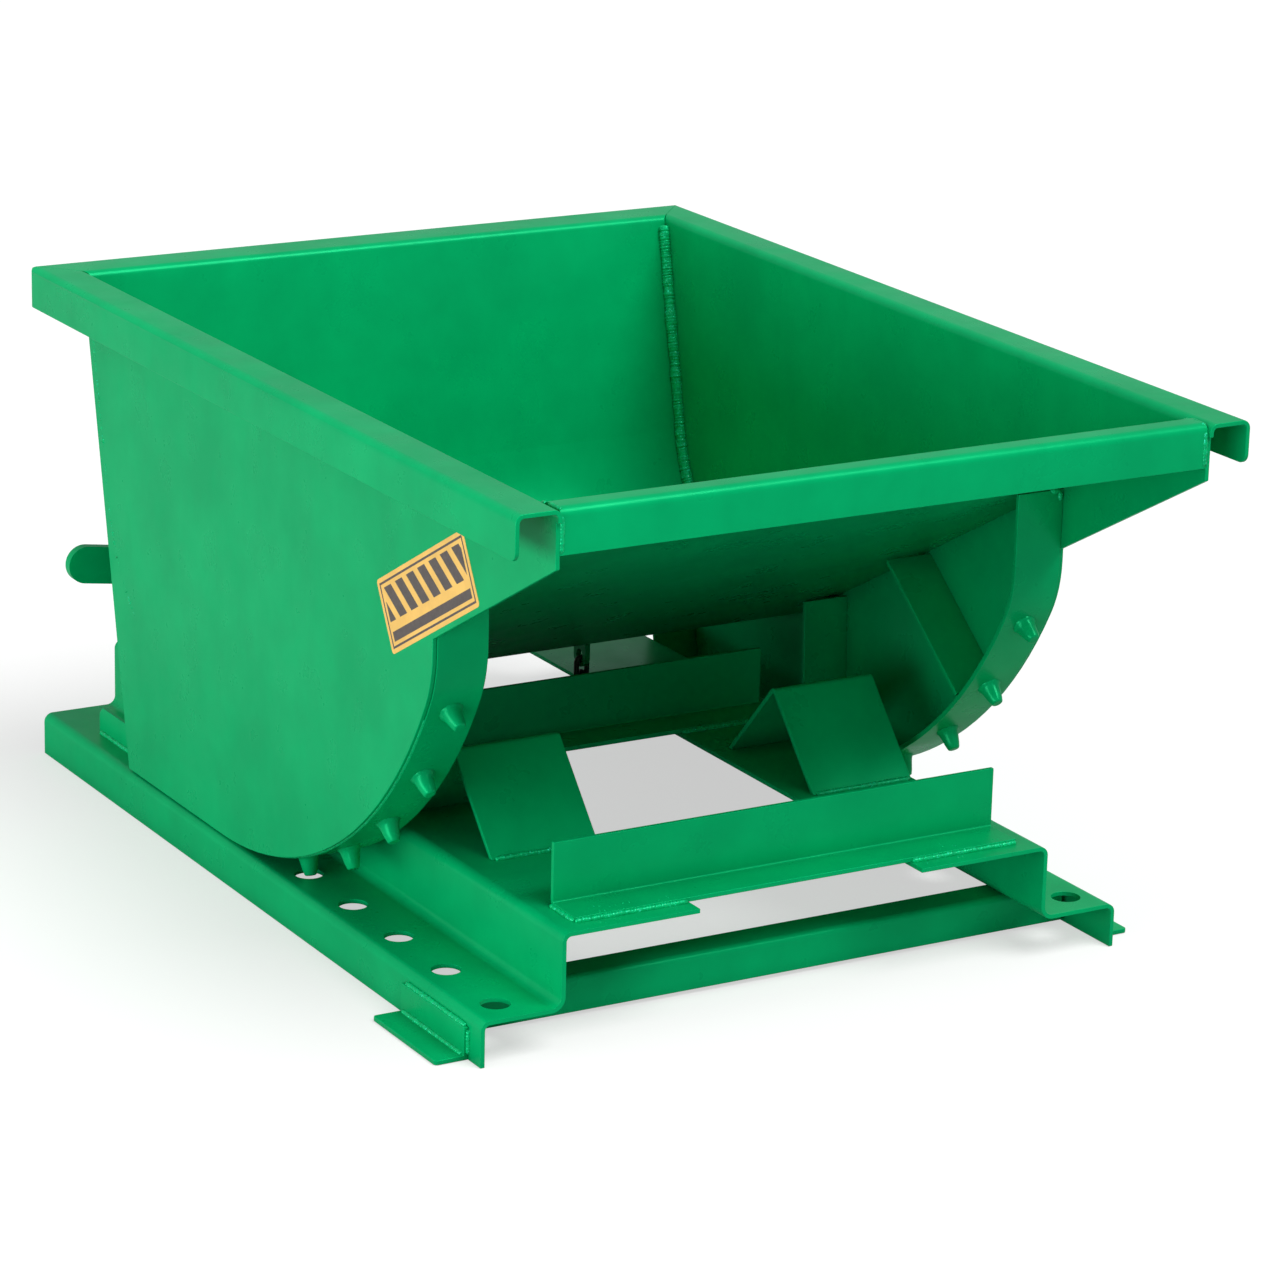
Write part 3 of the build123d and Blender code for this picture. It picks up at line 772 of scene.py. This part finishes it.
class HOPPER_OT_base_welds(bpy.types.Operator):
    """Run the beads of the base and scatter a little spatter beside them"""
    bl_idname = "hopper.base_welds"
    bl_label = "Base welds"

    def execute(self, context):
        weld = context.scene.hopper_weld
        deck_edge_x = 0.131
        lift = 0.001  # a bead's middle lies this far above the plate it runs on
        beads = []
        for node in ("front_top_angle", "rear_top_angle"):
            low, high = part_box(node)
            z = low.z + lift
            for s in (-1, 1):
                x_end = s * high.x
                beads.append([(x_end, low.y + 0.002, z), (x_end, high.y - 0.001, z)])
                beads.append([(x_end, low.y, z), (s * deck_edge_x, low.y, z)])
        for side in ("left", "right"):
            low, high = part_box("saddle_" + side)
            z = low.z + lift
            for y in (low.y, high.y):
                beads.append([(low.x + 0.004, y, z), (high.x - 0.004, y, z)])
            low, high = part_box("foot_plate_" + side)
            s = 1 if side == "right" else -1
            lip = s * RAIL_EDGE_X
            top = lip + s * 0.001
            foot, foot_z = lip + s * 0.005, 0.0055  # inner corner of the foot angle
            beads.append([(top, low.y + 0.004, high.z), (top, high.y - 0.004, high.z)])
            beads.append([(lip, low.y, 0.006), (lip, low.y, high.z - 0.003)])
            beads.append([(foot, low.y + 0.004, foot_z), (foot, high.y - 0.004, foot_z)])
            low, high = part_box("heel_guide_" + side)
            z = low.z + 0.0005
            for x in (low.x, high.x):
                beads.append([(x, low.y + 0.006, z), (x, high.y - 0.004, z)])
        weld_piece("base_welds", "base", beads, weld.radius, 41)
        self.scatter_spatter(weld.spatter)
        return {"FINISHED"}

    def scatter_spatter(self, count):
        """Drops beside the front cross angle's seams, on its foot and on the decks."""
        foot_sheet = 0.005
        rand = random.Random(7)
        shape = bmesh.new()
        low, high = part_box("front_top_angle")
        for _ in range(count):
            s = rand.choice((-1, -1, 1))
            x = s * rand.uniform(0.14, high.x)
            y = low.y + rand.gauss(0.004, 0.012)
            z = low.z + (foot_sheet if y > low.y else 0.0)
            if y < low.y - 0.03:
                continue
            size = rand.uniform(0.0004, 0.0012)
            place = Matrix.Translation((x, y, z)) @ Matrix.Diagonal((1, 1, 0.7, 1))
            bmesh.ops.create_icosphere(shape, subdivisions=1, radius=size, matrix=place)
        mesh = bpy.data.meshes.new("weld_spatter_shape")
        shape.to_mesh(mesh)
        shape.free()
        smooth_by_angle(mesh, 80.0)
        add_piece("weld_spatter", mesh, "base", material("painted_weld"))


class HOPPER_OT_stage(bpy.types.Operator):
    """Set the pale floor, the soft lights and the camera"""
    bl_idname = "hopper.stage"
    bl_label = "Stage"

    def execute(self, context):
        stage = context.scene.hopper_stage
        self.add_floor()
        self.add_world(stage.sky)
        self.add_key(stage.key_strength)
        self.add_side_light(stage.fill_power)
        self.add_camera(stage)
        context.scene.view_settings.view_transform = "Standard"
        return {"FINISHED"}

    def add_floor(self):
        far, level = 14.0, -0.0005
        thrown_back = (0.42, 0.42, 0.42, 1.0)
        glow = 0.58
        mesh = bpy.data.meshes.new("floor_shape")
        mesh.from_pydata([(-far, -far, level), (far, -far, level), (far, far, level),
                          (-far, far, level)], [], [(0, 1, 2, 3)])
        floor = bpy.data.objects.new("floor", mesh)
        bpy.context.scene.collection.objects.link(floor)
        m = Nodes("pale_floor")
        pale = m.mix(m.noise(0.9, 2.0), (0.42, 0.42, 0.42, 1.0), (0.45, 0.45, 0.45, 1.0))
        seen = m.tree.nodes.new("ShaderNodeLightPath").outputs["Is Camera Ray"]
        # the floor throws back less light than it shows, so undersides stay dark
        m.drive("Base Color", m.mix(seen, thrown_back, pale))
        # and it glows a little to the camera, as a lit backdrop does, so shadows stay pale
        m.fix("Emission Color", (1.0, 1.0, 1.0, 1.0))
        m.drive("Emission Strength", m.math("MULTIPLY", seen, glow))
        m.fix("Roughness", 0.8)
        m.fix("Specular IOR Level", 0.1)
        mesh.materials.append(m.material)

    def add_world(self, strength):
        world = bpy.data.worlds.new("room")
        world.use_nodes = True
        background = world.node_tree.nodes["Background"]
        background.inputs["Color"].default_value = (1.0, 1.0, 1.0, 1.0)
        background.inputs["Strength"].default_value = strength
        bpy.context.scene.world = world

    def add_lamp(self, name, kind, energy, aim, place=(0.0, 0.0, 0.0)):
        """Links a lamp at place that shines along aim."""
        lamp = bpy.data.lights.new(name, kind)
        lamp.energy = energy
        light = bpy.data.objects.new(name, lamp)
        light.location = place
        light.rotation_mode = "QUATERNION"
        light.rotation_quaternion = Vector(aim).to_track_quat("-Z", "Y")
        bpy.context.scene.collection.objects.link(light)
        return lamp

    def add_key(self, strength):
        """One very soft distant light, so that the floor is even."""
        towards = Vector((0.22, -0.46, 0.86))
        lamp = self.add_lamp("key_light", "SUN", strength, -towards)
        lamp.angle = math.radians(38.0)

    def add_side_light(self, power):
        """A long low soft light that shows the left side plate."""
        place = Vector((-4.2, -0.6, 0.72))
        middle = Vector((0.0, 0.0, 0.28))
        lamp = self.add_lamp("side_light", "AREA", power, middle - place, place)
        lamp.shape = "RECTANGLE"
        lamp.size, lamp.size_y = 6.0, 1.4

    def add_camera(self, stage):
        lens = bpy.data.cameras.new("camera")
        lens.lens = stage.lens
        lens.sensor_width = 36.0
        lens.clip_start, lens.clip_end = 0.1, 100.0  # metres
        camera = bpy.data.objects.new("camera", lens)
        level = math.cos(stage.dip)
        forward = Vector((math.sin(stage.azimuth) * level, math.cos(stage.azimuth) * level,
                          -math.sin(stage.dip)))
        right = forward.cross(Vector((0, 0, 1))).normalized()
        right.rotate(Matrix.Rotation(-stage.roll, 3, forward))
        up = right.cross(forward)
        turned = Matrix((right, up, -forward)).transposed().to_4x4()
        camera.matrix_world = Matrix.Translation(stage.eye) @ turned
        bpy.context.scene.collection.objects.link(camera)
        bpy.context.scene.camera = camera


class HOPPER_PT_sidebar(bpy.types.Panel):
    """Lists the settings and the build steps"""
    bl_idname = "HOPPER_PT_sidebar"
    bl_label = "Hopper"
    bl_space_type = "VIEW_3D"
    bl_region_type = "UI"
    bl_category = "Hopper"

    def draw(self, context):
        for title, group in (("Enamel", "hopper_paint"), ("Welds", "hopper_weld"),
                             ("Label", "hopper_label"), ("Stage", "hopper_stage")):
            box = self.layout.box()
            box.label(text=title)
            settings = getattr(context.scene, group)
            for name in settings.__annotations__:
                box.prop(settings, name)
        for step in STEPS:
            self.layout.operator(step.bl_idname)


GROUPS = {
    "hopper_paint": HopperPaint,
    "hopper_weld": HopperWeld,
    "hopper_label": HopperLabel,
    "hopper_stage": HopperStage,
}
STEPS = (
    HOPPER_OT_bucket_sheets, HOPPER_OT_rockers, HOPPER_OT_pegs, HOPPER_OT_base_frame,
    HOPPER_OT_latch, HOPPER_OT_chain, HOPPER_OT_label, HOPPER_OT_bucket_welds,
    HOPPER_OT_base_welds, HOPPER_OT_stage,
)


def register():
    for name, group in GROUPS.items():
        bpy.utils.register_class(group)
        setattr(bpy.types.Scene, name, bpy.props.PointerProperty(type=group))
    for step in STEPS:
        bpy.utils.register_class(step)
    bpy.utils.register_class(HOPPER_PT_sidebar)


def unregister():
    bpy.utils.unregister_class(HOPPER_PT_sidebar)
    for step in reversed(STEPS):
        bpy.utils.unregister_class(step)
    for name, group in reversed(GROUPS.items()):
        delattr(bpy.types.Scene, name)
        bpy.utils.unregister_class(group)


def main():
    """Registers the add-on, then builds every group of pieces in order."""
    register()
    bpy.ops.hopper.bucket_sheets()
    bpy.ops.hopper.rockers()
    bpy.ops.hopper.pegs()
    bpy.ops.hopper.base_frame()
    bpy.ops.hopper.latch()
    bpy.ops.hopper.chain()
    bpy.ops.hopper.label()
    bpy.ops.hopper.bucket_welds()
    bpy.ops.hopper.base_welds()
    bpy.ops.hopper.stage()


if __name__ == "__main__":
    main()
